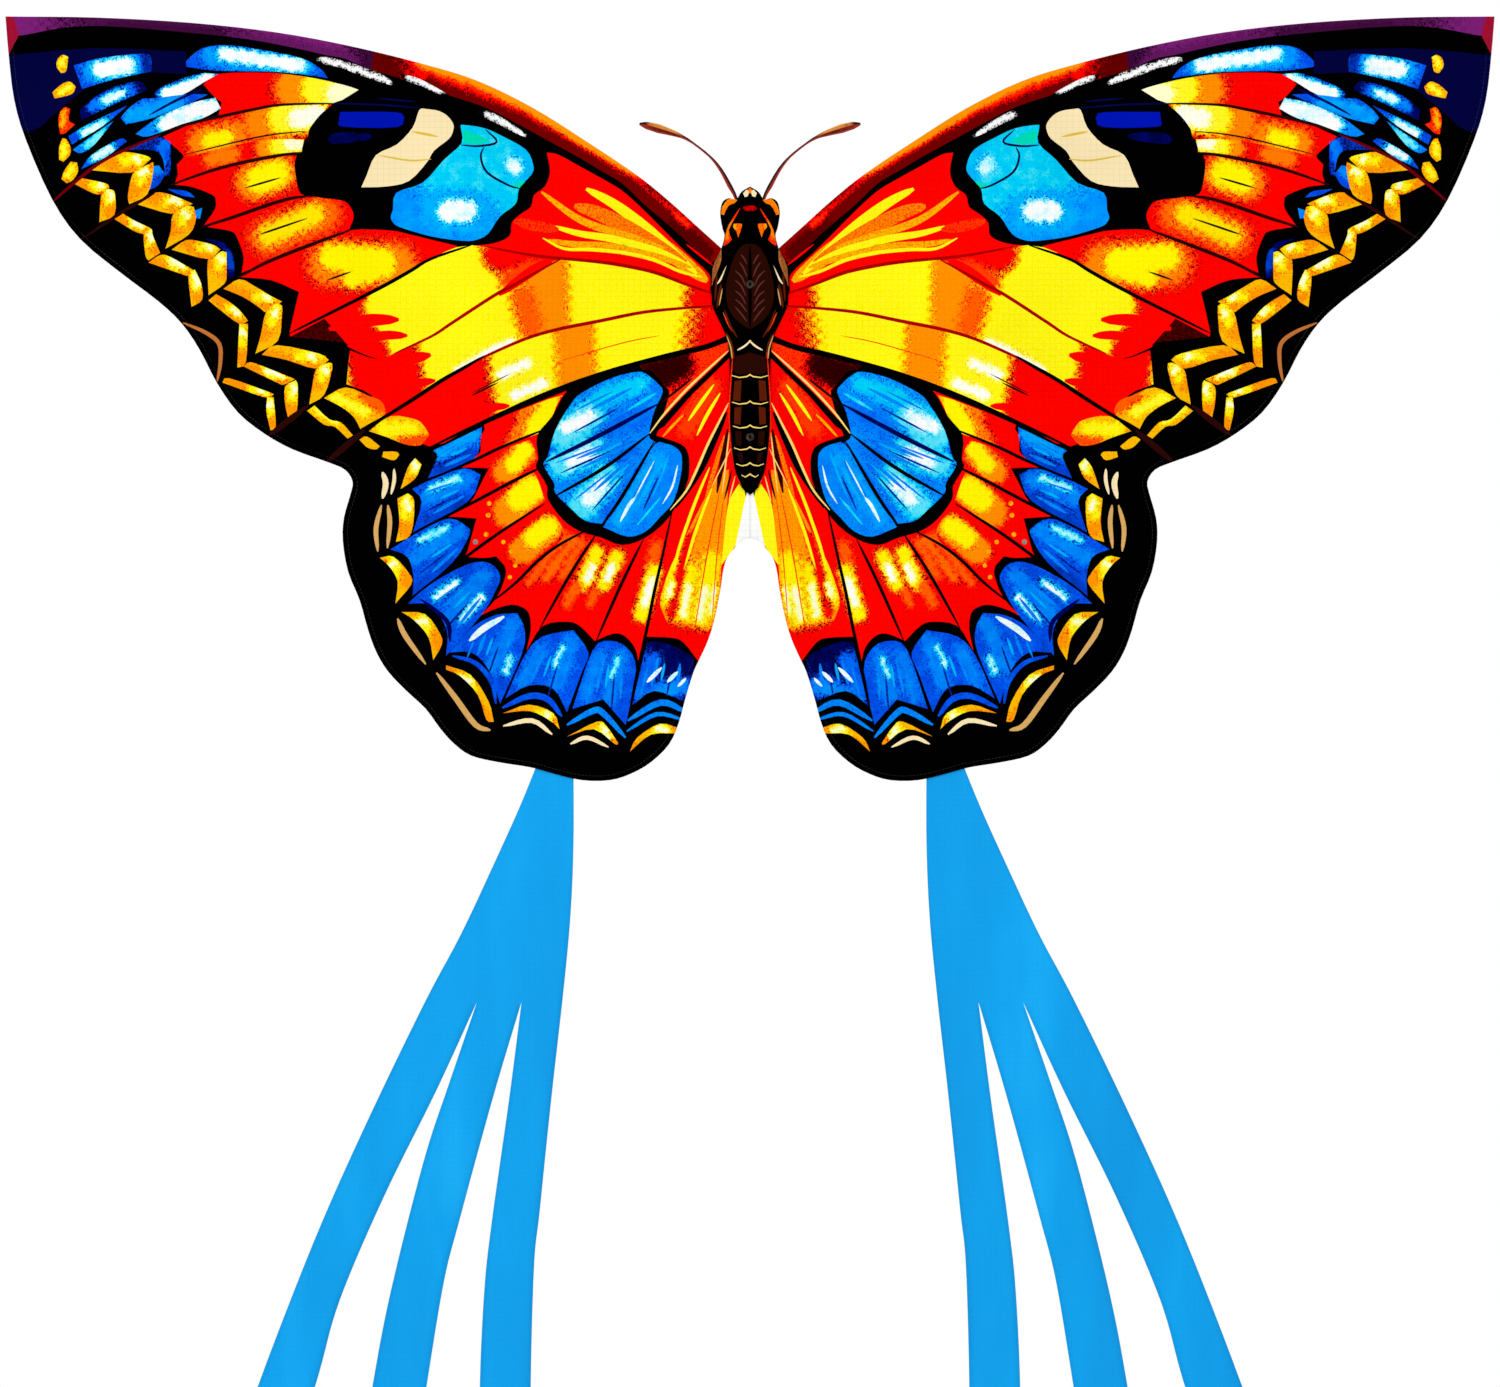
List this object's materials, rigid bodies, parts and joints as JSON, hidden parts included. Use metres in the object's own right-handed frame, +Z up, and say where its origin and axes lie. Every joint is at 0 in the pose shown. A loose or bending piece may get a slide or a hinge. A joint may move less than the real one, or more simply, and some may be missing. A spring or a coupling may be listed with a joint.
{
  "type": "butterfly kite",
  "caption": "Single-line kite with two printed butterfly wings on sprung rods, a stiff body with antennae, a snap-in cross spar and two split streaming tails.",
  "frame": {"origin": "on the front of the sail where the spine and the cross spar cross behind it, about which a two-legged bridle pulls", "axes": "+X to the right seen from the flyer, +Y away from the flyer, +Z up the spine towards the head"},
  "size_m": [1.4, 0.0481, 1.6111],
  "materials": {
    "sail_print": "printed ripstop nylon",
    "body_print": "printed nylon on a foam backing",
    "tail_ribbon": "smooth plain-weave nylon",
    "black_cloth": "woven polyester tape",
    "fibreglass": "pultruded fibreglass, satin",
    "vinyl": "soft vinyl, matte",
    "moulding": "moulded nylon, satin",
    "antenna_plastic": "flexible vinyl-coated stem, striped",
    "eyelet_metal": "blackened brass"
  },
  "bodies": {
    "spine": {"spine_rod": "fibreglass", "spine_sleeve_upper": "black_cloth", "spine_sleeve_middle": "black_cloth", "spine_sleeve_lower": "black_cloth", "spine_stopper_upper": "vinyl", "spine_stopper_lower": "vinyl", "spine_cap_bottom": "vinyl", "nose_pocket": "black_cloth", "nose_patch": "black_cloth", "centre_fitting": "moulding", "body_panel": "body_print", "sail_centre": "sail_print", "bridle_eyelet_upper": "eyelet_metal", "bridle_eyelet_lower": "eyelet_metal", "antenna_left": "antenna_plastic", "antenna_right": "antenna_plastic", "antenna_socket_left": "black_cloth", "antenna_socket_right": "black_cloth"},
    "cross_spar": {"cross_spar_left": "fibreglass", "cross_spar_ferrule": "moulding", "cross_spar_cap_left": "vinyl"},
    "cross_spar_right": {"cross_spar_right": "fibreglass", "cross_spar_cap_right": "vinyl"},
    "wing_left": {"sail_left": "sail_print", "leading_edge_sleeve_left": "black_cloth", "leading_edge_spar_left": "fibreglass", "leading_edge_cap_root_left": "vinyl", "leading_edge_cap_tip_left": "vinyl", "cross_spar_clip_left": "moulding", "clip_patch_left": "black_cloth", "hindwing_strut_left": "fibreglass", "strut_pocket_inner_left": "black_cloth", "strut_pocket_outer_left": "black_cloth", "strut_patch_inner_left": "black_cloth", "strut_patch_outer_left": "black_cloth", "tail_header_left": "tail_ribbon", "wing_tip_patch_left": "black_cloth"},
    "wing_right": {"sail_right": "sail_print", "leading_edge_sleeve_right": "black_cloth", "leading_edge_spar_right": "fibreglass", "leading_edge_cap_root_right": "vinyl", "leading_edge_cap_tip_right": "vinyl", "cross_spar_clip_right": "moulding", "clip_patch_right": "black_cloth", "hindwing_strut_right": "fibreglass", "strut_pocket_inner_right": "black_cloth", "strut_pocket_outer_right": "black_cloth", "strut_patch_inner_right": "black_cloth", "strut_patch_outer_right": "black_cloth", "tail_header_right": "tail_ribbon", "wing_tip_patch_right": "black_cloth"},
    "tail_left": {"tail_left": "tail_ribbon"},
    "tail_right": {"tail_right": "tail_ribbon"}
  },
  "joints": [
    {"name": "cross_spar_unclip", "type": "slide", "parent": "spine", "child": "cross_spar", "axis": [0, 1, 0], "range_m": [0, 0.06]},
    {"name": "cross_spar_right_pull", "type": "slide", "parent": "cross_spar", "child": "cross_spar_right", "axis": [1, 0, 0], "range_m": [0, 0.045]},
    {"name": "wing_left_fold", "type": "hinge", "parent": "spine", "child": "wing_left", "pos_m": [-0.04015, 0, 0], "axis": [0, 0, 1], "range_deg": [0, 80]},
    {"name": "wing_right_fold", "type": "hinge", "parent": "spine", "child": "wing_right", "pos_m": [0.04015, 0, 0], "axis": [0, 0, -1], "range_deg": [0, 80]},
    {"name": "tail_left_swing", "type": "hinge", "parent": "wing_left", "child": "tail_left", "pos_m": [-0.18, 0.0018, -0.419], "axis": [1, 0, 0], "range_deg": [0, 75]},
    {"name": "tail_right_swing", "type": "hinge", "parent": "wing_right", "child": "tail_right", "pos_m": [0.18, 0.0018, -0.419], "axis": [1, 0, 0], "range_deg": [0, 75]}
  ]
}
